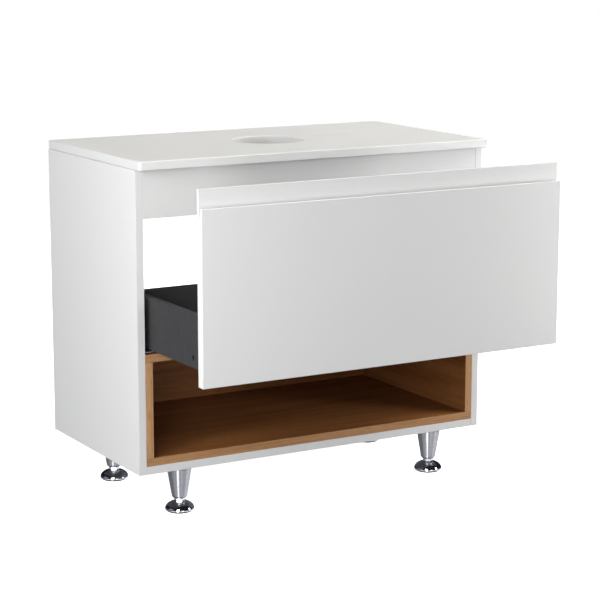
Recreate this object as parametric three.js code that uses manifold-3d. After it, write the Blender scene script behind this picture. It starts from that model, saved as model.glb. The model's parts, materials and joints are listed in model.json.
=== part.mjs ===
// A free-standing bathroom washstand for a countertop basin: a white cabinet on four tapered legs,
// with one deep metal-sided drawer, an oak niche below it and a round cut-out in the worktop.
//
// Millimetres, +Z up. The front faces -Y, and +X is to the right as seen from the front. The origin
// is on the floor, at the middle of the box that the washstand fills with its drawer pulled out.
// Inside the carcass group, Y is counted from the carcass's front edges and Z from its underside.

import * as THREE from 'three';
import { mergeVertices } from 'three/addons/utils/BufferGeometryUtils.js';
import Module from 'manifold-3d';

const wasm = await Module();
wasm.setup();

// ---------------------------------------------------------------- driving dimensions

const gap = 0.3;                  // clearance between pieces that touch
const width = 800;                // outside of the side panels
const depth = 420;                // front edges to back edges of the carcass
const legHeight = 93.5;            // floor to the underside of the carcass
const carcassHeight = 600;        // underside of the carcass to the underside of the worktop
const board = 16;                 // carcass and niche boards

const worktop = { thickness: 18, overhang: 20, edgeRound: 2, cornerRadius: 5 };
const cutout = { radius: 74, fromFront: 200 };
const rail = { bottom: 505 };     // the rails under the worktop, at the front and at the rear
const niche = { top: 240, backThickness: 10 };

const front = { thickness: 19, sideReveal: 1.5, bottom: 230, lipTop: 559, top: 594.5 };
const groove = { lip: 5.5, width: 7, depth: 18 };
const drawerOut = { shown: 254, closed: 2 };     // back of the drawer front to the carcass's front
const drawerLength = 348;         // back of the drawer front to the rear of the drawer's box
const side = { outer: 28, width: 15.7, wall: 1.2, bottom: 249, top: 351, web: 262.5, ledge: 12.3 };
const lockSlot = { fromFront: 72, height: 19, halfWidth: 3.5, halfHeight: 5.5 };
const bracket = { thick: 2, low: 275, high: 345 };
const wallBracket = { arm: 38, height: 34, belowRail: 50 };
const topBracket = { arm: 28, strip: 22, fromEnd: 60 };

const runner = { centre: 36.4, sheet: 1.2, wall: 1, bottom: 243, flangeTop: 278, railTop: 257 };
const damper = { inset: 22.6, height: 262, front: 262, rod: 22, length: 84, radius: 4 };
const screw = { head: 3.4, headHeight: 2.2, shank: 1.6, length: 14, clearance: 0.2 };
const bracketScrews = { lower: 292, upper: 328 };
const runnerScrews = { height: 272.5, front: 37, rear: 229 };

const leg = {
  front: { fromSide: 103, y: 34 }, back: { fromSide: 86, y: 309 },
  topRadius: 25, bottom: 27.5, plate: 50, plateThick: 3.7 };
const stud = { radius: 4, bottom: 6, top: 60, clearance: 0.5 };
const foot = { radius: 29.3, base: 25.5, widest: 5.5, dome: 14.5, top: 27.2, flats: 18.5 };

const inner = width / 2 - board;                 // the carcass's middle to a side panel's inner face
const middleY = (depth - drawerOut.shown - front.thickness) / 2;

// ---------------------------------------------------------------- finishes

function finish(colour, roughness, metalness) {
  return new THREE.MeshStandardMaterial({ color: colour, roughness, metalness });
}

const whiteSatin = finish(0xefefed, 0.35, 0);
const oakDecor = finish(0xb58a5c, 0.55, 0);
const anthracite = finish(0x4a4b4f, 0.45, 0.3);
const darkBoard = finish(0x3f4043, 0.6, 0);
const zincPlate = finish(0xa3a6aa, 0.4, 0.9);
const satinChrome = finish(0xb9bcc2, 0.3, 1);
const brightChrome = finish(0xd5d8dc, 0.08, 1);
const greyPlastic = finish(0x7b7d80, 0.5, 0);

// ---------------------------------------------------------------- geometry helpers

function place(group, name, geometry, material) {
  const mesh = new THREE.Mesh(geometry, material);
  mesh.name = name;
  group.add(mesh);
}

// A plain board between two corners.
function block([x0, x1], [y0, y1], [z0, z1]) {
  return new THREE.BoxGeometry(x1 - x0, y1 - y0, z1 - z0)
    .translate((x0 + x1) / 2, (y0 + y1) / 2, (z0 + z1) / 2);
}

function outline(points) {
  return new THREE.Shape(points.map(([u, v]) => new THREE.Vector2(u, v)));
}

// Points of an elliptical arc about (u, v), from one angle to another in degrees.
function arc(u, v, radiusU, radiusV, from, to, steps) {
  return Array.from({ length: steps + 1 }, (_, i) => {
    const angle = THREE.MathUtils.degToRad(from + (to - from) * i / steps);
    return [u + radiusU * Math.cos(angle), v + radiusV * Math.sin(angle)];
  });
}

// A rectangle with round corners, as points.
function roundedRectangle([x0, x1], [y0, y1], r, steps) {
  return [
    ...arc(x1 - r, y0 + r, r, r, -90, 0, steps), ...arc(x1 - r, y1 - r, r, r, 0, 90, steps),
    ...arc(x0 + r, y1 - r, r, r, 90, 180, steps), ...arc(x0 + r, y0 + r, r, r, 180, 270, steps)];
}

function prism(shape, length) {
  return new THREE.ExtrudeGeometry(shape, { depth: length, bevelEnabled: false });
}

// A section drawn in Y and Z, carried along X from x0 to x1.
function alongX(shape, x0, x1) {
  const basis = new THREE.Matrix4().makeBasis(
    new THREE.Vector3(0, 1, 0), new THREE.Vector3(0, 0, 1), new THREE.Vector3(1, 0, 0));
  return prism(shape, x1 - x0).applyMatrix4(basis).translate(x0, 0, 0);
}

// A section drawn in X and Z, carried along Y from y0 to y1.
function alongY(shape, y0, y1) {
  const basis = new THREE.Matrix4().makeBasis(
    new THREE.Vector3(1, 0, 0), new THREE.Vector3(0, 0, 1), new THREE.Vector3(0, -1, 0));
  return prism(shape, y1 - y0).applyMatrix4(basis).translate(0, y1, 0);
}

// A turned piece about Y, from points of radius and height that start and end on the axis.
function turnedY(profile, segments) {
  return new THREE.LatheGeometry(profile.map(([r, h]) => new THREE.Vector2(r, h)), segments);
}

function turnedZ(profile, segments) {
  return turnedY(profile, segments).rotateX(Math.PI / 2);
}

function solid(geometry) {
  const bare = geometry.clone().deleteAttribute('normal').deleteAttribute('uv');
  const merged = mergeVertices(bare, 1e-3);
  return new wasm.Manifold(new wasm.Mesh({
    numProp: 3,
    vertProperties: merged.attributes.position.array,
    triVerts: new Uint32Array(merged.index.array),
  }));
}

function geometryOf(manifold) {
  const mesh = manifold.getMesh();
  const geometry = new THREE.BufferGeometry();
  geometry.setAttribute('position', new THREE.BufferAttribute(mesh.vertProperties, 3));
  geometry.setIndex(new THREE.BufferAttribute(mesh.triVerts, 1));
  return geometry;
}

function cutAway(geometry, cutters) {
  return geometryOf(cutters.reduce((left, cutter) => left.subtract(solid(cutter)), solid(geometry)));
}

// ---------------------------------------------------------------- left and right

const sides = [['left', -1], ['right', 1]];

// The place of a piece that is stated as a distance in from the outside of the carcass.
function across(sign, inset) {
  return sign * (width / 2 - inset);
}

function span(sign, from, to) {
  return [across(sign, from), across(sign, to)].sort((a, b) => a - b);
}

// An outline whose first numbers are distances in from the outside of the carcass.
function section(sign, points) {
  return outline(points.map(([inset, v]) => [across(sign, inset), v]));
}

// ---------------------------------------------------------------- screws

// A pan-head screw along -Y, with its head's underside at y = 0.
function screwGeometry() {
  return turnedY([
    [0, -screw.length], [screw.shank, 2 - screw.length], [screw.shank, 0], [screw.head, 0],
    ...arc(0, 0.6, screw.head, screw.headHeight - 0.6, 0, 90, 4)], 16);
}

// The hole that the screw needs, through its bracket and into the board behind.
function screwHole() {
  const radius = screw.shank + screw.clearance;
  const bottom = -screw.length - 0.5;
  return new THREE.CylinderGeometry(radius, radius, -bottom + 1, 16).translate(0, (bottom + 1) / 2, 0);
}

// Turns a piece that is made along Y so that it points out of a side panel's inner face.
function outOfPanel(geometry, sign) {
  return geometry.rotateZ(sign * Math.PI / 2);
}

// ---------------------------------------------------------------- worktop

function worktopGeometry() {
  const shape = outline(roundedRectangle(
    [-width / 2, width / 2], [-worktop.overhang, depth], worktop.cornerRadius, 4));
  const hole = arc(0, cutout.fromFront, cutout.radius, cutout.radius, 0, 360, 48).slice(0, -1);
  shape.holes.push(outline(hole));
  const round = worktop.edgeRound;
  return new THREE.ExtrudeGeometry(shape, {
    depth: worktop.thickness - 2 * round,
    bevelThickness: round,
    bevelSize: round,
    bevelOffset: -round,
    bevelSegments: 2,
  }).translate(0, 0, carcassHeight + round);
}

// ---------------------------------------------------------------- carcass

function runnerScrewPlaces(sign) {
  const head = board + gap + runner.sheet + gap;
  return [['front', runnerScrews.front], ['rear', runnerScrews.rear]]
    .map(([end, y]) => [end, [across(sign, head), y, runnerScrews.height]]);
}

function addCarcass(group) {
  const between = [-inner + gap, inner - gap];
  const underTop = carcassHeight - gap;
  place(group, 'worktop', worktopGeometry(), whiteSatin);
  for (const [name, sign] of sides) {
    const panel = block(span(sign, 0, board), [0, depth], [0, underTop]);
    const holes = runnerScrewPlaces(sign).map(([, at]) => outOfPanel(screwHole(), sign).translate(...at));
    place(group, `${name}_side_panel`, cutAway(panel, holes), whiteSatin);
  }
  place(group, 'bottom_panel', block(between, [0, depth], [0, board]), whiteSatin);
  place(group, 'front_rail', block(between, [0, board], [rail.bottom, underTop]), whiteSatin);
  place(group, 'rear_rail', block(between, [depth - board, depth], [rail.bottom, underTop]), whiteSatin);
}

// The oak box of the niche. Its floor and ceiling run full width, and its walls stand between them.
function addNiche(group) {
  const between = [-inner + gap, inner - gap];
  const floor = [board + gap, 2 * board + gap];
  const ceiling = [niche.top - board, niche.top];
  const walls = [floor[1] + gap, ceiling[0] - gap];
  place(group, 'niche_floor', block(between, [0, depth], floor), oakDecor);
  place(group, 'niche_ceiling', block(between, [0, depth], ceiling), oakDecor);
  for (const [name, sign] of sides) {
    const wall = block(span(sign, board + gap, 2 * board), [0, depth], walls);
    place(group, `niche_${name}_wall`, wall, oakDecor);
  }
  const half = inner - board - gap;
  const back = block([-half, half], [depth - niche.backThickness, depth], walls);
  place(group, 'niche_back', back, oakDecor);
}

// An angle of sheet steel with two arms, each of them drawn from its corner at (u, v).
function angle(u, v, armU, armV) {
  const t = bracket.thick;
  const down = Math.sign(armV) * t;
  return [[u, v], [u + armU, v], [u + armU, v + down], [u + t, v + down], [u + t, v + armV], [u, v + armV]];
}

// The angles that hold the worktop down, and the two that are screwed to the wall of the room.
function addBrackets(group) {
  const against = board + gap;
  for (const [name, sign] of sides) {
    const top = section(sign, angle(against, carcassHeight - gap, topBracket.arm, -topBracket.arm));
    const places = [['front', topBracket.fromEnd], ['back', depth - topBracket.fromEnd - topBracket.strip]];
    for (const [end, y] of places) {
      place(group, `${end}_${name}_worktop_bracket`, alongY(top, y, y + topBracket.strip), zincPlate);
    }
    const wall = section(sign, angle(against, depth, wallBracket.arm, -wallBracket.arm));
    const plate = prism(wall, wallBracket.height).translate(0, 0, rail.bottom - wallBracket.belowRail);
    place(group, `${name}_wall_bracket`, plate, zincPlate);
  }
}

// ---------------------------------------------------------------- legs, with heights from the floor

function plateGeometry() {
  const half = leg.plate / 2;
  return prism(outline(roundedRectangle([-half, half], [-half, half], 21, 8)), leg.plateThick)
    .translate(0, 0, legHeight - leg.plateThick - gap);
}

function legGeometry() {
  const bore = stud.radius + stud.clearance;
  const top = legHeight - leg.plateThick - 2 * gap;
  return turnedZ([
    [0, stud.top + 2], [bore, stud.top + 2], [bore, leg.bottom],
    ...arc(11.5, leg.bottom + 7.5, 4.5, 7.5, -90, -8, 4), [leg.topRadius, top], [0, top]], 32);
}

function studGeometry() {
  return turnedZ([
    [0, stud.bottom], [stud.radius - 1, stud.bottom], [stud.radius, stud.bottom + 1],
    [stud.radius, stud.top], [0, stud.top]], 16);
}

// A domed foot with a hexagonal collar for a spanner. It is bored from above to screw along its stud.
function footGeometry() {
  const dome = turnedZ([
    [0, 0], ...arc(foot.base, foot.widest, foot.radius - foot.base, foot.widest, -90, -20, 3),
    ...arc(0, foot.widest, foot.radius, foot.dome, 0, 90, 8)], 32);
  const corner = foot.flats / 2 / Math.cos(Math.PI / 6);
  const collarBottom = foot.widest + foot.dome / 2;
  const collar = new THREE.CylinderGeometry(corner, corner, foot.top - collarBottom, 6)
    .rotateX(Math.PI / 2).translate(0, 0, (foot.top + collarBottom) / 2);
  const bore = stud.radius + stud.clearance;
  const borehole = new THREE.CylinderGeometry(bore, bore, foot.top, 16)
    .rotateX(Math.PI / 2).translate(0, 0, foot.top / 2 + stud.bottom - 1);
  return geometryOf(solid(dome).add(solid(collar)).subtract(solid(borehole)));
}

function addLegs(group) {
  for (const end of ['front', 'back']) {
    const { fromSide, y } = leg[end];
    for (const [name, sign] of sides) {
      const corner = new THREE.Group();
      corner.position.set(across(sign, fromSide), y, -legHeight);
      group.add(corner);
      place(corner, `${end}_${name}_leg_plate`, plateGeometry(), zincPlate);
      place(corner, `${end}_${name}_leg`, legGeometry(), satinChrome);
      place(corner, `${end}_${name}_foot_stud`, studGeometry(), zincPlate);
      place(corner, `${end}_${name}_foot`, footGeometry(), brightChrome);
    }
  }
}

// ---------------------------------------------------------------- runners

// A channel that is open below, one member of a telescopic runner.
function channel(sign, halfWidth, bottom, top) {
  const c = runner.centre;
  const w = halfWidth - runner.wall;
  return section(sign, [
    [c - halfWidth, bottom], [c - halfWidth, top], [c + halfWidth, top], [c + halfWidth, bottom],
    [c + w, bottom], [c + w, top - runner.wall], [c - w, top - runner.wall], [c - w, bottom]]);
}

// The member that is screwed to the side panel: a flange, a web under the drawer and a rail on it.
function cabinetRunnerGeometry(sign) {
  const near = board + gap;
  const half = runner.sheet / 2;
  const web = runner.bottom + runner.sheet;
  const shape = section(sign, [
    [near, runner.bottom], [runner.centre + half, runner.bottom],
    [runner.centre + half, runner.railTop], [runner.centre - half, runner.railTop],
    [runner.centre - half, web], [near + runner.sheet, web],
    [near + runner.sheet, runner.flangeTop], [near, runner.flangeTop]]);
  const holes = runnerScrewPlaces(sign).map(([, at]) => outOfPanel(screwHole(), sign).translate(...at));
  return cutAway(alongY(shape, 6, 351), holes);
}

// The soft-close damper lies along the runner's flange, with its piston rod to the front.
function damperGeometry() {
  return turnedY([
    [0, 0], [1.5, 0], [1.5, damper.rod], [damper.radius, damper.rod],
    [damper.radius, damper.length], [0, damper.length]], 16);
}

function addRunners(carcassGroup, drawerGroup) {
  const middleFront = 8 - (drawerOut.shown - drawerOut.closed) / 2;
  for (const [name, sign] of sides) {
    place(carcassGroup, `${name}_cabinet_runner`, cabinetRunnerGeometry(sign), zincPlate);
    for (const [end, at] of runnerScrewPlaces(sign)) {
      const turned = outOfPanel(screwGeometry(), sign).translate(...at);
      place(carcassGroup, `${name}_runner_screw_${end}`, turned, zincPlate);
    }
    const middle = alongY(channel(sign, 3, 250, 259.6), middleFront, middleFront + 338);
    place(carcassGroup, `${name}_middle_runner`, middle, zincPlate);
    place(drawerGroup, `${name}_drawer_runner`, alongY(channel(sign, 5, 251, 262.2), 3, 343), zincPlate);
    const cylinder = damperGeometry().translate(across(sign, damper.inset), damper.front, damper.height);
    place(carcassGroup, `${name}_soft_close_damper`, cylinder, greyPlastic);
  }
}

// ---------------------------------------------------------------- drawer

function bracketScrewPlaces(sign) {
  const middle = side.outer + side.width / 2;
  return [['lower', bracketScrews.lower], ['upper', bracketScrews.upper]]
    .map(([end, z]) => [end, [across(sign, middle), 2 * gap + bracket.thick, z]]);
}

function bracketScrewHoles(sign) {
  return bracketScrewPlaces(sign).map(([, at]) => screwHole().translate(...at));
}

// The drawer front: a lip, the finger groove behind it, and the set-back strip above them.
function frontGeometry() {
  const face = -front.thickness;
  const lipBack = face + groove.lip;
  const strip = lipBack + groove.width;
  const lipRound = groove.lip / 2;
  const bend = groove.width / 2;
  const grooveFloor = front.lipTop - groove.depth + bend;
  const shape = outline([
    [0, front.bottom], [0, front.top], [strip + 1, front.top], [strip, front.top - 1],
    ...arc(strip - bend, grooveFloor, bend, bend, 0, -180, 8),
    ...arc(face + lipRound, front.lipTop - lipRound, lipRound, lipRound, 0, 180, 8),
    [face, front.bottom + 1], [face + 1, front.bottom]]);
  const half = width / 2 - front.sideReveal;
  const holes = sides.flatMap(([, sign]) => bracketScrewHoles(sign));
  return cutAway(alongX(shape, -half, half), holes);
}

// A wall of the metal drawer: two skins, a web between them that rides on the runner, and a ledge
// on the inside that carries the drawer's floor.
function drawerSideGeometry(sign) {
  const { outer, wall, bottom, top, web, ledge } = side;
  const far = outer + side.width;
  const shape = section(sign, [
    [outer, bottom], [outer, top - 2], [outer + 2, top], [far - 2, top], [far, top - 2],
    [far, bottom + wall], [far + ledge, bottom + wall], [far + ledge, bottom],
    [far - wall, bottom], [far - wall, web], [outer + wall, web], [outer + wall, bottom]]);
  shape.holes.push(section(sign, [
    [outer + wall, web + wall], [far - wall, web + wall], [far - wall, top - 2], [outer + wall, top - 2]]));
  const slot = new THREE.CylinderGeometry(1, 1, 4, 16).rotateZ(Math.PI / 2)
    .scale(1, lockSlot.halfWidth, lockSlot.halfHeight)
    .translate(across(sign, outer + wall / 2), lockSlot.fromFront, bottom + lockSlot.height);
  return cutAway(alongY(shape, gap, drawerLength), [slot]);
}

// The angle that is screwed to the drawer front and stands inside the hollow side.
function frontBracketGeometry(sign) {
  const inset = side.outer + side.wall + 1;
  const shape = section(sign, angle(inset, gap, side.width - 2 * side.wall - 2, 46));
  const plate = prism(shape, bracket.high - bracket.low).translate(0, 0, bracket.low);
  return cutAway(plate, bracketScrewHoles(sign));
}

// The angle that ties the drawer's back to the rear end of the hollow side.
function backBracketGeometry(sign) {
  const inset = side.outer + side.wall + 1;
  const rear = drawerLength + gap + bracket.thick;
  const shape = section(sign, angle(inset, rear, 47, -26));
  return prism(shape, bracket.high - bracket.low).translate(0, 0, bracket.low);
}

function addDrawer(group) {
  const half = width / 2 - side.outer - side.width - gap;
  const floor = [side.bottom + side.wall + gap, side.bottom + side.wall + gap + board];
  const backFront = drawerLength - board;
  place(group, 'drawer_front', frontGeometry(), whiteSatin);
  place(group, 'drawer_bottom', block([-half, half], [gap, backFront - gap], floor), darkBoard);
  place(group, 'drawer_back',
    block([-half, half], [backFront, drawerLength], [floor[0], side.top]), darkBoard);
  for (const [name, sign] of sides) {
    place(group, `${name}_drawer_side`, drawerSideGeometry(sign), anthracite);
    place(group, `${name}_front_bracket`, frontBracketGeometry(sign), zincPlate);
    place(group, `${name}_back_bracket`, backBracketGeometry(sign), zincPlate);
    for (const [end, at] of bracketScrewPlaces(sign)) {
      place(group, `${name}_bracket_screw_${end}`, screwGeometry().translate(...at), zincPlate);
    }
  }
}

// ---------------------------------------------------------------- assembly

const washstand = new THREE.Group();
const carcass = new THREE.Group();
carcass.position.set(0, -middleY, legHeight);
washstand.add(carcass);
const drawer = new THREE.Group();
drawer.position.set(0, -drawerOut.shown, 0);
carcass.add(drawer);

addCarcass(carcass);
addNiche(carcass);
addBrackets(carcass);
addLegs(carcass);
addRunners(carcass, drawer);
addDrawer(drawer);

export default washstand;
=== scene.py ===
# %% [markdown]
# # A bathroom washstand: white cabinet, metal-sided drawer, oak niche, chrome legs
#
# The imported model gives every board, runner and foot its place, its body and its joints. This
# script puts finer surfaces and real finishes around it. Everything is in metres, +Z is up, and
# the front of the washstand faces -Y.

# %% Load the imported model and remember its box
import json
import math

import bpy
import numpy as np
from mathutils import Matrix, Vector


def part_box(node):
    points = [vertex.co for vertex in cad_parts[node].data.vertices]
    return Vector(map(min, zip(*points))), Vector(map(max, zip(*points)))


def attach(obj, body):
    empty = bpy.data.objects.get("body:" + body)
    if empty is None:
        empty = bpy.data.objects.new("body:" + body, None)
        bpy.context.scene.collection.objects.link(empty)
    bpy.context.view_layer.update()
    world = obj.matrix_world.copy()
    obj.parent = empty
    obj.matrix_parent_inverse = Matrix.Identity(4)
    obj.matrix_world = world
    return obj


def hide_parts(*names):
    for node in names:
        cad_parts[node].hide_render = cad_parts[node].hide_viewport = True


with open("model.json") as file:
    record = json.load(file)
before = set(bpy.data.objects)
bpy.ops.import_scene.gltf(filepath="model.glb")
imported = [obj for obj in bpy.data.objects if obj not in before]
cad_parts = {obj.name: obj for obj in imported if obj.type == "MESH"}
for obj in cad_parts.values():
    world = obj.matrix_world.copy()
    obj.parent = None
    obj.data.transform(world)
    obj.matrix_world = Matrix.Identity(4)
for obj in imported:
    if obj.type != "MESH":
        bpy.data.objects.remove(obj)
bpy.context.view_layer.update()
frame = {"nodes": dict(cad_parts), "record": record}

record = frame["record"]
body_of = {node: body for body, nodes in record["behaviour"]["bodies"].items() for node in nodes}
slot_of = {part["node"]: part["material_slot"] for part in record["subparts"]}
scene = bpy.context.scene
mm = 0.001

# %% [markdown]
# ## The camera
#
# A catalogue picture of furniture is taken with a long lens from well back, so that upright edges
# stay nearly upright and the front isn't stretched. The camera could be aimed with a constraint;
# here its place and its three angles are stated, which is the plainest thing to read and to change.

# %% Camera: a long lens, to the left of the front and a little above the worktop
camera_data = bpy.data.cameras.new("studio_camera")
camera_data.lens = 118.42
camera_data.sensor_width = 36
camera_data.clip_end = 200
camera = bpy.data.objects.new("studio_camera", camera_data)
camera.location = (-1.98333, -3.44937, 1.15784)
camera.rotation_euler = (math.radians(79.12), 0, math.radians(-29.94))
scene.collection.objects.link(camera)
scene.camera = camera
print("lens", camera_data.lens, "mm")

# %% [markdown]
# ## Surfaces from arrays
#
# Almost every piece of a cabinet is one of three shapes: a board with eased edges, a section
# carried along a line, or a turned piece. Each could be modelled by hand with bevels and a spin.
# Here each is a formula worked out for a whole grid of points at once, so a size can change in one
# place and the edge rounding stays exact.

# %% Turn arrays of points into a closed piece
def weld(points, faces):
    """Points that share a place become one, and corners that a face then repeats are dropped."""
    kept, inverse = np.unique(np.round(points, 8), axis=0, return_inverse=True)
    inverse = inverse.reshape(-1)
    merged = [list(dict.fromkeys(inverse[list(face)].tolist())) for face in faces]
    used = [i for i, face in enumerate(merged) if len(face) > 2]
    return kept, [merged[i] for i in used], used


def grid_faces(rows, columns, wrap_rows=False, wrap_columns=True):
    """The four corner numbers of each cell of a grid of points, counted row by row."""
    i = np.arange(rows if wrap_rows else rows - 1)[:, None]
    j = np.arange(columns if wrap_columns else columns - 1)[None, :]
    down, right = (i + 1) % rows, (j + 1) % columns
    cells = [i * columns + j, i * columns + right, down * columns + right, down * columns + j]
    return np.stack(np.broadcast_arrays(*cells), axis=-1).reshape(-1, 4)


def joined(*surfaces):
    """Several surfaces as one list of points and one list of faces."""
    points, faces = [], []
    for piece_points, piece_faces in surfaces:
        start = sum(len(p) for p in points)
        points.append(np.asarray(piece_points, float).reshape(-1, 3))
        faces += [[start + c for c in face] for face in piece_faces]
    return np.vstack(points), faces


# %% [markdown]
# A piece is finished when it has a material, rides on the right body and stands for its node. That
# is the same few lines for all of them, so one function does it. Flat faces next to small
# roundings are shaded by area, which keeps a big board face dead flat right up to its edge.

# %% Make a piece and put it on its body
finishes = {}


def piece(name, surface, finish, node, sharp=35, finish_of_face=None):
    """A mesh object at the origin, from a surface's points and faces, in place of a node.

    finish is a name, or a list of names that finish_of_face chooses from."""
    points, faces, used = weld(*surface)
    mesh = bpy.data.meshes.new(name)
    mesh.from_pydata(points.tolist(), [], faces)
    mesh.validate()
    names = [finish] if isinstance(finish, str) else finish
    for each in names:
        mesh.materials.append(finishes[each])
    if finish_of_face is not None:
        mesh.polygons.foreach_set("material_index", np.asarray(finish_of_face)[used].astype(np.int32))
    mesh.polygons.foreach_set("use_smooth", np.ones(len(mesh.polygons), bool))
    mesh.set_sharp_from_angle(angle=math.radians(sharp))
    made = bpy.data.objects.new(name, mesh)
    scene.collection.objects.link(made)
    shading = made.modifiers.new("shade_by_area", "WEIGHTED_NORMAL")
    shading.keep_sharp = True
    shading.weight = 100
    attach(made, body_of[node])
    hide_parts(node)
    return made


# %% [markdown]
# ## A board with eased edges
#
# A sawn board has its edges broken by a fraction of a millimetre, and that thin curve is what
# catches the light. A Bevel modifier would do it too; the formula below gives the same curve and
# lets the front strip of each board be picked out for its edge band.

# %% Board surface
def lines_across(low, high, radius, steps, extra=()):
    """Where the grid lines of a board face lie: tangents of even angles in the rounded margins."""
    rise = radius * np.tan(np.linspace(0, math.pi / 4, steps + 1))
    inside = [e for e in extra if low + radius < e < high - radius]
    return np.concatenate([(low + radius - rise)[::-1], inside, high - radius + rise])


def board_surface(low, high, radius=0.7 * mm, steps=2, band=None):
    """A box whose points p move to q + r (p - q) / |p - q|, where q is p held r inside the box.

    band is the depth of the front strip that gets a grid line of its own."""
    low, high = np.array(low, float), np.array(high, float)
    extra = [(), (low[1] + band,) if band else (), ()]
    lines = [lines_across(low[a], high[a], radius, steps, extra[a]) for a in range(3)]
    parts = []
    for axis in range(3):
        b, c = (axis + 1) % 3, (axis + 2) % 3
        for end, value in enumerate((low[axis], high[axis])):
            grid_b, grid_c = np.meshgrid(lines[b], lines[c], indexing="ij")
            points = np.empty(grid_b.shape + (3,))
            points[..., axis], points[..., b], points[..., c] = value, grid_b, grid_c
            faces = grid_faces(*grid_b.shape, wrap_columns=False)
            parts.append((points, faces if end == 0 else faces[:, ::-1]))
    points, faces = joined(*parts)
    held = np.clip(points, low + radius, high - radius)
    away = points - held
    points = held + radius * away / np.linalg.norm(away, axis=1, keepdims=True)
    return points, faces


def board(node, finish, band=None, band_finish=None, **shape):
    """The board that stands for a node, with an edge band on its front edge if it has one."""
    low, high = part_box(node)
    surface = board_surface(low, high, band=band, **shape)
    if not band:
        return piece(node + "_board", surface, finish, node)
    points, faces = surface
    middle = np.array([points[face, 1].mean() for face in map(list, faces)])
    return piece(node + "_board", surface, [finish, band_finish], node,
                 finish_of_face=middle < low[1] + band)


# %% [markdown]
# ## A section carried along a line, and a turned piece
#
# The drawer front, the drawer's metal sides and the small steel angles each have one section from
# end to end. Legs, feet and studs come off a lathe: their surface is a profile of radius and
# height, taken round an axis.

# %% Carried and turned surfaces
def arc(centre, radius, start, end, steps):
    """Points of a circle's arc (or an ellipse's, for two radii) between two angles in degrees."""
    angle = np.radians(np.linspace(start, end, steps + 1))
    return np.array(centre) + np.array(radius) * np.stack([np.cos(angle), np.sin(angle)], axis=1)


def corner_normals(section):
    """For each corner of a closed section, the step that moves both its edges out by one."""
    after = np.roll(section, -1, axis=0) - section
    after /= np.linalg.norm(after, axis=1, keepdims=True)
    before = np.roll(after, 1, axis=0)
    out_after = np.stack([after[:, 1], -after[:, 0]], axis=1)
    out_before = np.stack([before[:, 1], -before[:, 0]], axis=1)
    return (out_after + out_before) / (1 + np.sum(out_after * out_before, axis=1, keepdims=True))


def carried_surface(section, start, end, axis, ease=0.4 * mm, steps=2):
    """A closed section (counter-clockwise) carried from start to end along X or Y.

    Near each end, at angle t, the section is drawn in by e (1 - cos t) while it moves out by
    e sin t, so the end has an eased edge. A section along X is in (y, z); along Y it's (x, z)."""
    t = np.linspace(math.pi / 2, 0, steps + 1)
    inset = ease * (1 - np.cos(t))
    along = np.concatenate([start + ease * (1 - np.sin(t)), (end - ease * (1 - np.sin(t)))[::-1]])
    inset = np.concatenate([inset, inset[::-1]])
    ring = section[None] - inset[:, None, None] * corner_normals(section)[None]
    points = np.empty(ring.shape[:2] + (3,))
    points[..., axis] = along[:, None]
    points[..., 1 - axis], points[..., 2] = ring[..., 0], ring[..., 1]
    rows, columns = ring.shape[:2]
    faces = [list(f) for f in grid_faces(rows, columns)]
    first, last = list(range(columns)), list(range((rows - 1) * columns, rows * columns))
    caps = [first[::-1], last]
    if axis == 1:
        faces = [f[::-1] for f in faces]
        caps = [first, last[::-1]]
    return points.reshape(-1, 3), faces + caps


def turned_surface(profile, centre=(0, 0), segments=64, radius_at=None):
    """A profile of (radius, height) taken round a vertical axis.

    It runs from a point on the axis below to one above with the solid on its left, or starts and
    ends on the axis. radius_at may change the radius with the angle, for flats."""
    profile = np.asarray(profile, float)
    angle = np.arange(segments) * 2 * math.pi / segments
    radius = np.repeat(profile[:, :1], segments, axis=1)
    if radius_at is not None:
        radius = radius_at(radius, profile[:, 1:2], angle[None, :])
    points = np.stack([centre[0] + radius * np.cos(angle), centre[1] + radius * np.sin(angle),
                       np.repeat(profile[:, 1:2], segments, axis=1)], axis=-1)
    return points.reshape(-1, 3), grid_faces(len(profile), segments)


# %% [markdown]
# ## Finishes
#
# Each finish is a Principled shader with patterns that read Object coordinates, in metres, so the
# grain or the texture of the coating has its true size wherever the piece stands. First a helper
# that adds a node and fills or joins its sockets.

# %% Shader helpers
def node(tree, kind, inputs=None, **settings):
    """A shader node; an input is a value or another node's socket."""
    made = tree.nodes.new("ShaderNode" + kind)
    for key, value in settings.items():
        setattr(made, key, value)
    for key, value in (inputs or {}).items():
        if isinstance(value, bpy.types.NodeSocket):
            tree.links.new(value, made.inputs[key])
        else:
            made.inputs[key].default_value = value
    return made


def new_finish(name, colour, roughness, metallic=0.0, specular=0.5):
    """A material with one Principled shader, listed under its name."""
    material = bpy.data.materials.new(name)
    material.use_nodes = True
    tree = material.node_tree
    shader = tree.nodes["Principled BSDF"]
    shader.inputs["Base Color"].default_value = (*colour, 1)
    shader.inputs["Roughness"].default_value = roughness
    shader.inputs["Metallic"].default_value = metallic
    shader.inputs["Specular IOR Level"].default_value = specular
    finishes[name] = material
    return tree, shader


def place_in(tree, scale=(1, 1, 1)):
    """Object coordinates, stretched."""
    coordinates = node(tree, "TexCoord")
    return node(tree, "Mapping", {"Vector": coordinates.outputs["Object"], "Scale": scale}).outputs[0]


def noise(tree, scale, detail=2.0, rough=0.5, distortion=0.0):
    """Noise with its own scale on each axis, in features a metre."""
    return node(tree, "TexNoise", {"Vector": place_in(tree, scale), "Scale": 1.0, "Detail": detail,
                                   "Roughness": rough, "Distortion": distortion}).outputs["Fac"]


def spread(tree, value, low, high, to_low, to_high):
    """The value's part between low and high, moved to lie between two others."""
    return node(tree, "MapRange", {"Value": value, 1: low, 2: high, 3: to_low, 4: to_high}).outputs[0]


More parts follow.
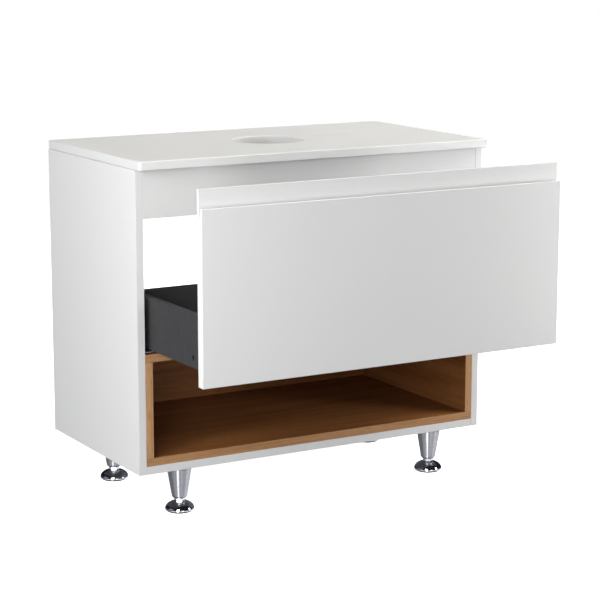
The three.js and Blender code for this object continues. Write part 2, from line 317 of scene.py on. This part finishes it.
def two_colours(tree, factor, first, second):
    """A mix of two colours or colour sockets."""
    mix = node(tree, "Mix", {0: factor, 6: first, 7: second}, data_type="RGBA")
    return mix.outputs[2]


def rise_and_fall(tree, shader, height, strength, distance):
    """A bump on the shader's normal, its height in metres."""
    bump = node(tree, "Bump", {"Height": height, "Strength": strength, "Distance": distance})
    tree.links.new(bump.outputs[0], shader.inputs["Normal"])


# %% [markdown]
# ### White satin lacquer
#
# Sprayed lacquer is nearly uniform, but never perfectly: it has a faint ripple called orange peel,
# a few millimetres across, and its gloss drifts a little over a board.

# %% White satin lacquer
tree, shader = new_finish("white_lacquer", (0.80, 0.80, 0.80), 0.34)
drift = noise(tree, (5, 5, 5), 2)
tree.links.new(two_colours(tree, drift, (0.795, 0.798, 0.800, 1), (0.812, 0.810, 0.806, 1)),
               shader.inputs["Base Color"])
tree.links.new(spread(tree, noise(tree, (18, 18, 18), 3), 0.3, 0.7, 0.30, 0.38),
               shader.inputs["Roughness"])
rise_and_fall(tree, shader, noise(tree, (330, 330, 330), 1.5), 0.10, 0.15 * mm)
print("white lacquer ready")

# %% [markdown]
# ### Oak decor
#
# The niche is a printed and embossed oak. What the eye reads as oak is four things at different
# scales: slow bands of light and dark, finer streaks inside them, short dark pores, and a dull
# sheen that is broken by those pores. All four are noise stretched along the grain.

# %% Oak, with its grain along one axis
# The first tones are a darker, redder copy of the same oak: painted shade for the niche's inner faces.
# band_oak is the edge band's own lighter tone.
shaded_inner_oak = ((0.39, 0.165, 0.055, 1), (0.275, 0.108, 0.032, 1), (0.16, 0.056, 0.015, 1))
band_oak = ((0.62, 0.355, 0.168, 1), (0.485, 0.258, 0.118, 1), (0.31, 0.15, 0.066, 1))


def oak(name, axis, tones):
    """Grain along an axis, 0 for X, 1 for Y and 2 for Z. Scales are (across, along), a metre."""
    def stretched(across, along):
        return tuple(along if a == axis else across for a in range(3))

    light_oak, mid_oak, dark_oak = tones
    tree, shader = new_finish(name, mid_oak[:3], 0.5, 0.0, 0.25)
    bands = noise(tree, stretched(26, 1.1), 3, 0.55, 0.9)
    streaks = noise(tree, stretched(190, 3.0), 3, 0.6, 0.3)
    fibres = noise(tree, stretched(900, 14), 2, 0.6)
    pores = spread(tree, noise(tree, stretched(1500, 45), 1, 0.5), 0.60, 0.70, 0, 1)
    tone = spread(tree, bands, 0.33, 0.67, 0, 1)
    colour = two_colours(tree, tone, mid_oak, light_oak)
    colour = two_colours(tree, spread(tree, streaks, 0.50, 0.80, 0, 0.85), colour, dark_oak)
    colour = two_colours(tree, spread(tree, fibres, 0.35, 0.75, 0, 0.35), colour, dark_oak)
    colour = two_colours(tree, node(tree, "Math", {0: pores, 1: 0.55}, operation="MULTIPLY").outputs[0],
                         colour, (*(0.55 * np.array(dark_oak[:3])), 1))
    tree.links.new(colour, shader.inputs["Base Color"])
    tree.links.new(spread(tree, streaks, 0.3, 0.7, 0.44, 0.56), shader.inputs["Roughness"])
    height = node(tree, "Math", {0: fibres, 1: pores}, operation="SUBTRACT").outputs[0]
    rise_and_fall(tree, shader, height, 0.35, 0.12 * mm)


for name, axis, tones in (("oak_along_x", 0, shaded_inner_oak), ("oak_along_y", 1, shaded_inner_oak),
                          ("oak_band_x", 0, band_oak), ("oak_band_z", 2, band_oak)):
    oak(name, axis, tones)
print("oak in", sum(name.startswith("oak") for name in finishes), "directions")

# %% [markdown]
# ### Metals, powder coat, dark board and plastic
#
# Powder coat is a fine pebble. Zinc plate is a dull grey metal with cloudy patches. Satin chrome
# is turned, so its fine lines run round the leg; polished chrome has almost nothing of its own and
# shows the room instead.

# %% The other finishes
tree, shader = new_finish("anthracite_steel", (0.047, 0.047, 0.049), 0.55, 0.0, 0.25)
rise_and_fall(tree, shader, noise(tree, (1500, 1500, 1500), 2), 0.25, 0.12 * mm)
tree.links.new(spread(tree, noise(tree, (60, 60, 60), 3), 0.3, 0.7, 0.50, 0.60),
               shader.inputs["Roughness"])

tree, shader = new_finish("dark_board", (0.052, 0.052, 0.055), 0.55)
weave = noise(tree, (900, 120, 900), 2)
tree.links.new(two_colours(tree, spread(tree, weave, 0.3, 0.7, 0, 1), (0.036, 0.036, 0.037, 1),
                           (0.048, 0.048, 0.049, 1)), shader.inputs["Base Color"])
rise_and_fall(tree, shader, weave, 0.2, 0.1 * mm)

tree, shader = new_finish("zinc_plated_steel", (0.60, 0.61, 0.63), 0.36, 1.0)
cloud = noise(tree, (70, 70, 70), 4)
tree.links.new(two_colours(tree, spread(tree, cloud, 0.35, 0.65, 0, 1), (0.52, 0.53, 0.55, 1),
                           (0.66, 0.67, 0.68, 1)), shader.inputs["Base Color"])
tree.links.new(spread(tree, cloud, 0.3, 0.7, 0.30, 0.46), shader.inputs["Roughness"])
rise_and_fall(tree, shader, noise(tree, (1800, 1800, 1800), 2), 0.12, 0.1 * mm)

tree, shader = new_finish("satin_chrome", (0.57, 0.575, 0.59), 0.30, 1.0)
turning = noise(tree, (6, 6, 2600), 2)
tree.links.new(spread(tree, turning, 0.3, 0.7, 0.26, 0.34), shader.inputs["Roughness"])
shader.inputs["Anisotropic"].default_value = 0.9
upright = node(tree, "CombineXYZ", {"X": 0.0, "Y": 0.0, "Z": 1.0}).outputs[0]
tree.links.new(upright, shader.inputs["Tangent"])

tree, shader = new_finish("bright_chrome", (0.80, 0.81, 0.83), 0.045, 1.0)
tree.links.new(spread(tree, noise(tree, (40, 40, 40), 3), 0.3, 0.7, 0.03, 0.075),
               shader.inputs["Roughness"])

tree, shader = new_finish("grey_plastic", (0.20, 0.205, 0.21), 0.45)
rise_and_fall(tree, shader, noise(tree, (1200, 1200, 1200), 2), 0.15, 0.1 * mm)
print(len(finishes), "finishes")

# %% [markdown]
# ## The worktop
#
# One slab with a 2 mm rounded rim and a round cut-out for the basin's waste. A Boolean cut would
# leave ragged triangles round the hole. Instead, rays from the middle of the hole pair each point
# of its rim with one of the outline, and a section of both edges runs between the pairs.

# %% Worktop
def ray_to_rounded_box(angle, low, high, corner, centre):
    """Where a ray from the centre leaves a rectangle with round corners, and the way out there."""
    direction = np.stack([np.cos(angle), np.sin(angle)], axis=1)
    to_side = np.abs(np.where(direction > 0, high - centre, low - centre)) / np.maximum(
        np.abs(direction), 1e-9)
    hit = centre + direction * to_side.min(axis=1, keepdims=True)
    middle = np.clip(hit, low + corner, high - corner)
    near = np.all(np.abs(hit - middle) > 1e-9, axis=1)
    offset = middle - centre
    along = np.sum(direction * offset, axis=1)
    reach = along + np.sqrt(np.maximum(corner ** 2 - np.sum(offset ** 2, axis=1) + along ** 2, 0))
    hit = np.where(near[:, None], centre + direction * reach[:, None], hit)
    out = hit - np.clip(hit, low + corner, high - corner)
    return hit, out / np.linalg.norm(out, axis=1, keepdims=True)


def pierced_slab(low, high, corner, centre, hole, rim=2 * mm, rays=180, steps=4):
    """A slab with a round hole, as rows of rim section over columns of rays.

    Going over the edges, at angle t, the outline is drawn in by r (1 - cos t) and the hole drawn
    out by as much, while the height changes by r sin t."""
    low, high, centre = np.array(low), np.array(high), np.array(centre)
    flat_low, flat_high = low[:2], high[:2]
    corners = np.array([[x, y] for x in (flat_low[0], flat_high[0]) for y in (flat_low[1], flat_high[1])])
    toward = np.arctan2(corners[:, 1] - centre[1], corners[:, 0] - centre[0])
    reach = 1.6 * corner / np.linalg.norm(corners - centre, axis=1)
    close = (toward[:, None] + reach[:, None] * np.linspace(-1, 1, 13)[None]).ravel() % (2 * math.pi)
    angle = np.unique(np.concatenate([np.arange(rays) * 2 * math.pi / rays, close]))
    hit, out = ray_to_rounded_box(angle, flat_low, flat_high, corner, centre)
    ray = np.stack([np.cos(angle), np.sin(angle)], axis=1)
    t = np.linspace(0, math.pi / 2, steps + 1)
    draw, lift = rim * (1 - np.cos(t)), rim * (1 - np.sin(t))
    rows = []
    for inset, height in zip(draw, high[2] - lift):
        rows.append((hit - inset * out, height))
    for inset, height in zip(draw[::-1], (high[2] - lift)[::-1]):
        rows.append((centre + (hole + inset) * ray, height))
    for inset, height in zip(draw, low[2] + lift):
        rows.append((centre + (hole + inset) * ray, height))
    for inset, height in zip(draw[::-1], (low[2] + lift)[::-1]):
        rows.append((hit - inset * out, height))
    points = np.array([np.column_stack([place, np.full(len(place), height)]) for place, height in rows])
    return points.reshape(-1, 3), grid_faces(len(rows), len(angle), wrap_rows=True)


top_low, top_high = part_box("worktop")
cutout_centre, cutout_radius = (0, top_low.y + 220 * mm), 74 * mm
worktop = piece("worktop_slab", pierced_slab(top_low, top_high, 5 * mm, cutout_centre, cutout_radius),
                "white_lacquer", "worktop", sharp=50)
print("worktop", len(worktop.data.polygons), "faces")

# %% [markdown]
# ## The cabinet's boards
#
# Two side panels stand at full height; the bottom and the two rails fit between them. The oak
# niche is a box of its own: its floor and ceiling run the full width and its walls stand between.

# %% White boards and oak niche
for name in ("left_side_panel", "right_side_panel", "bottom_panel", "front_rail", "rear_rail"):
    board(name, "white_lacquer")
for name in ("niche_floor", "niche_ceiling"):
    # The inner faces take the oak darkened as painted shade, and the front edge band takes its own lighter
    # oak.
    board(name, "oak_along_x", 1 * mm, "oak_band_x", radius=0.5 * mm)
for name in ("niche_left_wall", "niche_right_wall"):
    board(name, "oak_along_y", 1 * mm, "oak_band_z", radius=0.5 * mm)
board("niche_back", "oak_along_x", radius=0.3 * mm)
print("ten boards")

# %% [markdown]
# ## The drawer front
#
# The front has no handle. Fingers hook behind a rounded lip into a milled groove, and a strip
# stands up behind the groove. It's one section in Y and Z from end to end.

# %% Drawer front
front_low, front_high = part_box("drawer_front")
face, back = front_low.y, front_high.y
bottom, top = front_low.z, front_high.z
lip, groove, groove_depth, lip_top = 5.5 * mm, 7 * mm, 18 * mm, top - 35.5 * mm
strip = face + lip + groove
edge = 1.2 * mm
front_section = np.vstack([
    arc((face + edge, bottom + edge), edge, 180, 270, 5),
    arc((back - edge, bottom + edge), edge, -90, 0, 5),
    arc((back - edge, top - edge), edge, 0, 90, 5),
    arc((strip + edge, top - edge), edge, 90, 180, 5),
    arc((strip - groove / 2, lip_top - groove_depth + groove / 2), groove / 2, 0, -180, 14),
    arc((face + lip - edge, lip_top - edge), edge, 0, 90, 5),
    arc((face + edge, lip_top - edge), edge, 90, 180, 5)])
piece("drawer_front_panel", carried_surface(front_section, front_low.x, front_high.x, 0, 0.9 * mm, 3),
      "white_lacquer", "drawer_front", sharp=40)
print("front section of", len(front_section), "points")

# %% [markdown]
# ## The drawer's metal sides
#
# Each side is one strip of steel folded over at the top and turned in at the bottom to carry the
# drawer's floor, with a web inside it that rests on the runner. The outer skin has an upright slot
# for the adjusting screw. Sections like this are easiest as a centre line with a thickness.

# %% Drawer sides
def folded_section(line, bend, thickness, steps=5):
    """The outline of folded sheet: a line of corners, rounded, then moved half a thickness each way."""
    line = np.asarray(line, float)
    path = [line[:1]]
    for before, here, after in zip(line[:-2], line[1:-1], line[2:]):
        into, out = here - before, after - here
        into, out = into / np.linalg.norm(into), out / np.linalg.norm(out)
        turn = math.atan2(into[0] * out[1] - into[1] * out[0], into @ out)
        reach = bend * math.tan(abs(turn) / 2)
        side = np.array([-into[1], into[0]]) * math.copysign(1, turn)
        centre = here - into * reach + side * bend
        start = math.atan2(*(-side)[::-1])
        angle = start + np.linspace(0, turn, steps + 1)
        path.append(centre + bend * np.stack([np.cos(angle), np.sin(angle)], axis=1))
    path = np.vstack(path + [line[-1:]])
    along = np.gradient(path, axis=0)
    along[1:-1] = path[2:] - path[:-2]
    along /= np.linalg.norm(along, axis=1, keepdims=True)
    normal = np.stack([along[:, 1], -along[:, 0]], axis=1)
    outline = np.vstack([path + normal * thickness / 2, (path - normal * thickness / 2)[::-1]])
    area = np.sum(outline[:, 0] * np.roll(outline[:, 1], -1) - np.roll(outline[:, 0], -1) * outline[:, 1])
    return outline if area > 0 else outline[::-1]


def slotted(surface, side, slot_centre, half, wall, steps=24):
    """Cuts an oval through the outer skin.

    Each face of the skin around the slot is redrawn as four pieces, each with a straight outer
    edge and a quarter of the oval; a short tube joins the two ovals."""
    points, faces = surface
    points, faces = np.asarray(points), [list(f) for f in faces]
    y, z = slot_centre
    rings, kept = [], []
    for f in faces:
        p = points[f]
        flat = np.ptp(p[:, 0]) < 1e-7
        around = p[:, 1].min() < y < p[:, 1].max() and p[:, 2].min() < z < p[:, 2].max()
        if len(f) == 4 and flat and around and abs(p[0, 0] - side) < wall * 1.5:
            rings.append(f)
        else:
            kept.append(f)
    ovals = []
    for f in rings:
        p = points[f]
        start = math.atan2(*(p[0, 1:] - (y, z))[::-1])
        first_side, next_side = p[1, 1:] - p[0, 1:], p[2, 1:] - p[1, 1:]
        turn = 1 if first_side[0] * next_side[1] - first_side[1] * next_side[0] > 0 else -1
        angle = start + turn * np.linspace(0, 2 * math.pi, steps, endpoint=False)
        oval = np.column_stack([np.full(steps, p[0, 0]), y + half[0] * np.cos(angle),
                                z + half[1] * np.sin(angle)])
        base = len(points)
        points = np.vstack([points, oval])
        quarter = steps // 4
        for k in range(4):
            edge_points = [base + (k * quarter + i) % steps for i in range(quarter + 1)]
            kept.append([f[k], f[(k + 1) % 4]] + edge_points[::-1])
        order = np.argsort(np.round((angle % (2 * math.pi)), 6))
        ovals.append((p[0, 0], base + order))
    if len(ovals) == 2:
        (_, outer), (_, inner) = sorted(ovals, key=lambda o: abs(o[0]), reverse=True)
        strip_faces = np.stack([outer, np.roll(outer, -1), np.roll(inner, -1), inner], axis=1)
        p = points[strip_faces[0]]
        normal = np.cross(p[1] - p[0], p[2] - p[1])
        inward = np.array([0, y, z]) - np.array([0, *p[0, 1:]])
        strip_faces = strip_faces if normal @ inward > 0 else strip_faces[:, ::-1]
        kept += strip_faces.tolist()
    print("slot through", len(ovals), "skins")
    return points, kept


for name, sign in (("left", -1), ("right", 1)):
    low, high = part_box(name + "_drawer_side")
    outer_x = low.x if sign < 0 else high.x
    inner_x = outer_x - sign * 15.7 * mm
    ledge_x = high.x if sign < 0 else low.x
    sheet = 1.2 * mm
    half_sheet = sheet / 2
    slot_y, slot_z = low.y - 0.3 * mm + 72 * mm, low.z + 19 * mm
    outer_line = outer_x - sign * half_sheet
    line = [(outer_line, low.z), (outer_line, slot_z - 8 * mm), (outer_line, slot_z + 8 * mm),
            (outer_line, high.z - half_sheet), (inner_x + sign * half_sheet, high.z - half_sheet),
            (inner_x + sign * half_sheet, low.z + half_sheet), (ledge_x, low.z + half_sheet)]
    section = folded_section(line, 2.2 * mm, sheet)
    section = section[np.r_[True, np.linalg.norm(np.diff(section, axis=0), axis=1) > 1e-6]]
    carried = carried_surface(section, low.y, high.y, 1, 0.2 * mm, 1)
    # Rings at the slot's two ends, so that one cell of each skin holds it.
    points, faces = carried
    points = points.reshape(-1, len(section), 3)
    ring = points[1][None].repeat(2, axis=0)
    ring[0, :, 1], ring[1, :, 1] = slot_y - 8 * mm, slot_y + 8 * mm
    points = np.concatenate([points[:2], ring, points[2:]])
    rows, columns = points.shape[:2]
    faces = [list(f)[::-1] for f in grid_faces(rows, columns)]
    faces += [list(range(columns)), list(range((rows - 1) * columns, rows * columns))[::-1]]
    skin = slotted((points.reshape(-1, 3), faces), outer_x, (slot_y, slot_z), (3.5 * mm, 5.5 * mm), sheet)
    web = board_surface((min(outer_x, inner_x) + sheet, low.y + 0.5 * mm, low.z + 13.5 * mm),
                        (max(outer_x, inner_x) - sheet, high.y - 0.5 * mm, low.z + 14.7 * mm), 0.2 * mm, 1)
    piece(name + "_drawer_side_skin", joined(skin, web), "anthracite_steel", name + "_drawer_side", sharp=30)
for name in ("drawer_bottom", "drawer_back"):
    board(name, "dark_board", radius=0.5 * mm)

# %% [markdown]
# ## Legs
#
# A tapered leg is a hollow cone with a rounded shoulder at the bottom, bored for the stud. The
# profile runs up the bore's floor, down the bore, round the shoulder and up the taper.

# %% Legs
def leg_profile(bottom, top):
    """Radius and height, from the closed end of the bore to the middle of the top."""
    shoulder = arc((11.5 * mm, bottom + 7.5 * mm), (4.5 * mm, 7.5 * mm), -90, -8, 12)
    taper_start = shoulder[-1]
    taper_end = np.array([25 * mm, top - 0.8 * mm])
    taper = taper_start + (taper_end - taper_start) * np.linspace(0, 1, 9)[1:, None]
    rim = arc((24.2 * mm, top - 0.8 * mm), 0.8 * mm, 0, 90, 4)[1:]
    return np.vstack([[(0, bottom + 32 * mm), (4.5 * mm, bottom + 32 * mm), (4.5 * mm, bottom + 0.6 * mm),
                       (5.1 * mm, bottom)], shoulder, taper, rim, [(0, top)]])


corners = [f"{end}_{side}" for end in ("front", "back") for side in ("left", "right")]


def middle_of(name):
    """The middle of a node's box, seen from above."""
    low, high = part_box(name)
    return (low.x + high.x) / 2, (low.y + high.y) / 2


for corner in corners:
    low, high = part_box(corner + "_leg")
    profile = leg_profile(low.z, high.z)
    piece(corner + "_leg_cone", turned_surface(profile, middle_of(corner + "_leg"), 96),
          "satin_chrome", corner + "_leg", sharp=40)
print("legs", len(profile), "rings each")

# %% [markdown]
# ## Feet and studs
#
# Each foot is a polished dome with a hexagonal collar for a spanner. A hexagon is a radius that
# depends on the angle, a / cos(t) with t folded into thirty degrees either side of a flat, and its
# chamfered corners come from taking the smaller of that and a circle that shrinks towards the end.

# %% Levelling feet
def hexagon(flats, angle):
    """Distance from the middle to the side of a hexagon, at each angle."""
    folded = (angle + math.pi / 6) % (math.pi / 3) - math.pi / 6
    return flats / 2 / np.cos(folded)


def foot_surface(centre, bottom):
    """Dome, collar and bore as one profile; the collar's rings take the hexagon's radius."""
    collar_low, collar_top = bottom + 20.6 * mm, bottom + 27.2 * mm
    flats = 18.5 * mm
    dome = np.vstack([
        [(0, bottom)],
        arc((22.3 * mm, bottom + 5.5 * mm), (7.0 * mm, 5.5 * mm), -90, -8, 10),
        arc((0, bottom + 5.5 * mm), (29.3 * mm, 16.6 * mm), 2, 66, 26)])
    heights = np.array([0, 0.5, 1.2, 2.0, 3.3, 4.6, 5.4, 6.1, 6.6]) * mm + collar_low
    collar = np.column_stack([np.full(len(heights), 20 * mm), heights])
    bore = np.array([(4.9 * mm, collar_top), (4.5 * mm, collar_top - 0.5 * mm), (4.5 * mm, bottom + 5 * mm),
                     (0, bottom + 5 * mm)])
    profile = np.vstack([dome, collar, bore])
    in_collar = np.zeros(len(profile), bool)
    in_collar[len(dome):len(dome) + len(collar)] = True

    def radius_at(radius, height, angle):
        chamfer = flats / 2 + 0.35 * mm + np.maximum((collar_top - height), 0) * 1.6
        flat_sided = np.minimum(hexagon(flats, angle), chamfer)
        return np.where(in_collar[:, None], flat_sided, radius)

    return turned_surface(profile, centre, 120, radius_at)


for corner in corners:
    centre = middle_of(corner + "_foot")
    piece(corner + "_foot_dome", foot_surface(centre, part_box(corner + "_foot")[0].z),
          "bright_chrome", corner + "_foot", sharp=24)

# %% [markdown]
# A thread is a height field on a cylinder: the radius at height z and angle a follows a triangle
# wave of z / pitch - a / turn, so the crest climbs one pitch in each turn.

# %% Threaded studs
def thread_surface(centre, low, high, radius=4 * mm, depth=0.55 * mm, pitch=1.5 * mm, segments=32):
    """A threaded rod with a closed flat at each end."""
    heights = np.arange(low + 0.6 * mm, high - 0.2 * mm, pitch / 6)
    angle = np.arange(segments) * 2 * math.pi / segments
    phase = (heights[:, None] / pitch - angle[None] / (2 * math.pi)) % 1
    wave = np.clip(1.6 * (1 - np.abs(2 * phase - 1)) - 0.3, 0, 1)
    fade = np.clip(np.minimum(heights - low, high - heights) / pitch, 0, 1)[:, None]
    ring = radius - depth + depth * wave * fade
    points = np.stack([centre[0] + ring * np.cos(angle), centre[1] + ring * np.sin(angle),
                       np.repeat(heights[:, None], segments, axis=1)], axis=-1)
    ends = [np.tile([centre[0], centre[1], h], (1, segments, 1)) for h in (low, high)]
    inner = points[0].copy(), points[-1].copy()
    for p, h in zip(inner, (low, high)):
        p[:, :2] = np.array(centre) + (p[:, :2] - np.array(centre)) * 0.8
        p[:, 2] = h
    points = np.concatenate([ends[0], inner[0][None], points, inner[1][None], ends[1]])
    return points.reshape(-1, 3), grid_faces(len(points), segments)


for corner in corners:
    low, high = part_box(corner + "_foot_stud")
    piece(corner + "_threaded_stud", thread_surface(middle_of(corner + "_foot_stud"), low.z, high.z),
          "zinc_plated_steel", corner + "_foot_stud", sharp=60)
print("threads at 1.5 mm a turn")

# %% [markdown]
# ## Screws
#
# A pan-head screw with a cross recess. Its head is a height field in polar coordinates: a flat
# dome, less a cross that is deep in the middle. The shank below it is a plain turned pin.

# %% Screw surface
def screw_surface(at, out, head=3.4 * mm, height=2.2 * mm, shank=1.6 * mm, length=14 * mm, segments=48):
    """A screw whose head sits at a point and faces along a direction out of the surface."""
    rings = np.concatenate([[0, 0.12, 0.2, 0.28, 0.36, 0.45, 0.54, 0.62, 0.7, 0.8, 0.9, 0.96, 1.0]]) * head
    angle = np.arange(segments) * 2 * math.pi / segments
    r, a = np.meshgrid(rings, angle, indexing="ij")
    dome = height * (0.35 + 0.65 * np.sqrt(np.maximum(1 - (r / head) ** 2, 0)))
    arm = np.minimum(np.abs(r * np.sin(a)), np.abs(r * np.cos(a)))
    reach = np.clip((0.62 * head - r) / (0.10 * head), 0, 1)
    cross = np.clip((0.17 * head - arm) / (0.07 * head), 0, 1) * reach
    z = dome - cross * height * 0.55 * np.clip(1.15 - r / head, 0, 1)
    cap = np.stack([r * np.cos(a), r * np.sin(a), z], axis=-1)[::-1]
    body = [(head, 0), (shank, 0), (shank, -length + 2.5 * mm), (0, -length)]
    below = np.array([[(q * math.cos(t), q * math.sin(t), h) for t in angle] for q, h in body])
    points = np.concatenate([below[::-1], cap]).reshape(-1, 3)
    faces = grid_faces(len(below) + len(cap), segments)
    out = np.array(out, float) / np.linalg.norm(out)
    across = np.cross([0, 0, 1.0], out) if abs(out[2]) < 0.9 else np.array([1.0, 0, 0])
    across /= np.linalg.norm(across)
    turned = np.stack([across, np.cross(out, across), out])
    return np.array(at) + points @ turned, faces


def middle_point(name):
    """The middle of a node's box."""
    low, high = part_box(name)
    return (np.array(low) + np.array(high)) / 2


for name, sign in (("left", -1), ("right", 1)):
    for end in ("front", "rear"):
        node_name = f"{name}_runner_screw_{end}"
        low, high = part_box(node_name)
        x = (high.x - 2.2 * mm) if sign < 0 else (low.x + 2.2 * mm)
        _, y, z = middle_point(node_name)
        piece(node_name + "_pan_head", screw_surface((x, y, z), (-sign, 0, 0)), "zinc_plated_steel",
              node_name, sharp=40)
    for end in ("lower", "upper"):
        node_name = f"{name}_bracket_screw_{end}"
        low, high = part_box(node_name)
        x, _, z = middle_point(node_name)
        piece(node_name + "_pan_head", screw_surface((x, high.y - 2.2 * mm, z), (0, 1, 0)),
              "zinc_plated_steel", node_name, sharp=40)
print("eight screws")

# %% [markdown]
# ## Runners, angles and plates
#
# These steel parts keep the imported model's own solids, because their folded sections are already
# right. They get the plated finish, and the damper gets its plastic.

# %% Finishes for the nodes that stay
def paint(name, finish):
    """Gives a node that stays its finish."""
    mesh = frame["nodes"][name].data
    mesh.materials.clear()
    mesh.materials.append(finishes[finish])


for name, ob in frame["nodes"].items():
    if not ob.hide_render:
        paint(name, "grey_plastic" if "damper" in name else slot_of[name])
        print("kept", name)

# %% [markdown]
# ## Floor, room and lights
#
# The floor is one pale sheet that glows, so it stays white and shows no shadow. It's left out of
# reflections, and the polished feet show a darker room instead.

# %% Floor
floor_material = bpy.data.materials.new("studio_floor")
floor_material.use_nodes = True
floor_shader = floor_material.node_tree.nodes["Principled BSDF"]
floor_shader.inputs["Base Color"].default_value = (0.80, 0.80, 0.80, 1)
floor_shader.inputs["Roughness"].default_value = 0.9
floor_shader.inputs["Specular IOR Level"].default_value = 0.0
floor_shader.inputs["Emission Color"].default_value = (1, 1, 1, 1)
floor_shader.inputs["Emission Strength"].default_value = 1.0
floor_mesh = bpy.data.meshes.new("studio_floor")
reach = 60.0
floor_mesh.from_pydata([(-reach, -reach, 0), (reach, -reach, 0), (reach, reach, 0), (-reach, reach, 0)],
                       [], [(0, 1, 2, 3)])
floor_mesh.materials.append(floor_material)
floor = bpy.data.objects.new("studio_floor", floor_mesh)
floor.visible_diffuse = floor.visible_glossy = False
scene.collection.objects.link(floor)

# %% [markdown]
# The room has three faces: plain white where it's looked at, a weak soft fill for the dull
# surfaces, and a dark room with a few bright and grey patches for the glossy ones, as black and
# white cloths give in a studio. Patches are placed by height and by turn, which is the bearing of
# a direction from the middle of the room's front, growing to the right.

# %% Room light
world = bpy.data.worlds.new("studio_room")
scene.world = world
world.use_nodes = True
room = world.node_tree
room.nodes.clear()


def window(value, low, high, soft):
    """1 from low to high, and down to 0 over a soft edge outside them."""
    rise = spread(room, value, low - soft, low, 0, 1)
    fall = spread(room, value, high, high + soft, 1, 0)
    return node(room, "Math", {0: rise, 1: fall}, operation="MULTIPLY").outputs[0]


def dot(vector, other):
    """A dot product, which is how far a direction points along another."""
    return node(room, "VectorMath", {0: vector, 1: other}, operation="DOT_PRODUCT").outputs["Value"]


direction = node(room, "TexCoord").outputs["Generated"]
height = node(room, "SeparateXYZ", {0: direction}).outputs[2]
forward = (-0.469, -0.883, 0)
to_the_right = (0.883, -0.469, 0)
turn = node(room, "Math", {0: dot(direction, to_the_right), 1: dot(direction, forward)},
            operation="ARCTAN2").outputs[0]
turn = node(room, "Math", {0: turn}, operation="DEGREES").outputs[0]

fill_strength = 0.22
fill_band = window(height, -0.48, 0.25, 0.12)
diffuse_light = node(room, "Background", {"Color": (1, 1, 1, 1), "Strength": node(
    room, "Math", {0: fill_band, 1: fill_strength}, operation="MULTIPLY").outputs[0]})

# Each patch: from and to in degrees of turn, its soft edge, from and to in height, its soft edge,
# and its brightness.
patches = (
    (-180, 180, 1, -0.60, -0.27, 0.08, (0.26, 0.26, 0.28)),
    (-50, 176, 40, -0.60, -0.27, 0.08, (0.66, 0.66, 0.70)),
    (-20, -8, 5, -0.62, 0.45, 0.08, (2.4, 2.4, 2.4)),
    (18, 34, 4, -0.26, 0.06, 0.03, (1.6, 1.6, 1.6)),
    (-180, 180, 1, -0.26, 0.02, 0.04, (0.03, 0.045, 0.10)),
    (-88, -52, 6, 0.08, 0.42, 0.04, (0.24, 0.23, 0.30)),
)
shown = (0.012, 0.012, 0.014)
for turn_low, turn_high, turn_soft, low, high, soft, colour in patches:
    inside = node(room, "Math", {0: window(turn, turn_low, turn_high, turn_soft),
                                 1: window(height, low, high, soft)}, operation="MULTIPLY").outputs[0]
    patch = node(room, "VectorMath", {0: colour, "Scale": inside}, operation="SCALE").outputs[0]
    shown = node(room, "VectorMath", {0: shown, 1: patch}, operation="ADD").outputs[0]
reflected_room = node(room, "Background", {"Color": shown, "Strength": 1.0})
white = node(room, "Background", {"Color": (1, 1, 1, 1), "Strength": 1.0})
rays = node(room, "LightPath")
mixed = node(room, "MixShader", {0: rays.outputs["Is Glossy Ray"], 1: diffuse_light.outputs[0],
                                 2: reflected_room.outputs[0]})
mixed = node(room, "MixShader", {0: rays.outputs["Is Camera Ray"], 1: mixed.outputs[0],
                                 2: white.outputs[0]})
out = node(room, "OutputWorld", {"Surface": mixed.outputs[0]})
print("room in", len(room.nodes), "nodes")

# %% [markdown]
# Large soft boxes stand to the left, to the right, above and behind. Two upright strips in front
# are the only ones that show in reflections.

# %% Soft boxes
def soft_box(name, at, aim, size, power, colour):
    """A rectangular area light at a point, turned to face another."""
    light = bpy.data.lights.new(name, "AREA")
    light.shape = "RECTANGLE"
    light.size, light.size_y = size
    light.energy = power
    light.color = colour
    lamp = bpy.data.objects.new(name, light)
    at, aim = np.array(at, float), np.array(aim, float)
    lamp.location = at
    back = at - aim
    yaw = math.atan2(back[1], back[0]) + math.pi / 2
    pitch = math.acos(back[2] / np.linalg.norm(back))
    lamp.rotation_euler = (pitch, 0, yaw)
    scene.collection.objects.link(lamp)
    return lamp


white_light, warm_light = (1.0, 1.0, 1.0), (1.0, 0.985, 0.93)
# Each box: where it stands, the point it faces, its size, its power in watts, and whether it shows
# in reflections.
boxes = (
    ("left_wall_box", (-3.2, -0.6, 1.3), (0, 0, 0.4), (1.6, 2.0), 50, False),
    ("left_box", (-2.4, -1.2, 1.6), (-0.3, 0, 0.5), (1.2, 1.6), 18, False),
    ("left_near_box", (-1.2, -0.6, 0.9), (-0.3, -0.07, 0.5), (0.4, 0.9), 3, False),
    ("front_left_strip", (-1.15, -1.25, 0.65), (-0.3, -0.3, 0.5), (0.3, 0.8), 8, True),
    ("front_right_strip", (1.25, -1.0, 0.5), (0.3, -0.3, 0.5), (0.3, 0.8), 7, True),
    ("right_box", (2.6, -2.6, 1.8), (0.2, -0.2, 0.5), (1.4, 1.4), 12, False),
    ("right_near_box", (1.5, -0.45, 0.8), (0.3, -0.07, 0.5), (0.4, 0.9), 6, False),
    ("overhead_box", (0.2, 0.2, 3.2), (0, 0, 0.5), (2.2, 1.6), 14, False),
    ("overhead_right_box", (1.6, 0.0, 3.0), (0, 0, 0.5), (1.4, 1.4), 40, False),
    ("high_right_box", (2.2, -0.8, 2.8), (0, 0, 0.5), (1.4, 1.4), 40, False),
    ("back_box", (0.6, 3.4, 1.6), (0, 0, 0.4), (2.0, 1.6), 60, False),
)
for name, at, aim, size, power, mirrored in boxes:
    from_above = "over" in name or "high" in name
    lamp = soft_box(name, at, aim, size, power, warm_light if from_above else white_light)
    lamp.visible_glossy = mirrored
scene.view_settings.view_transform = "Standard"
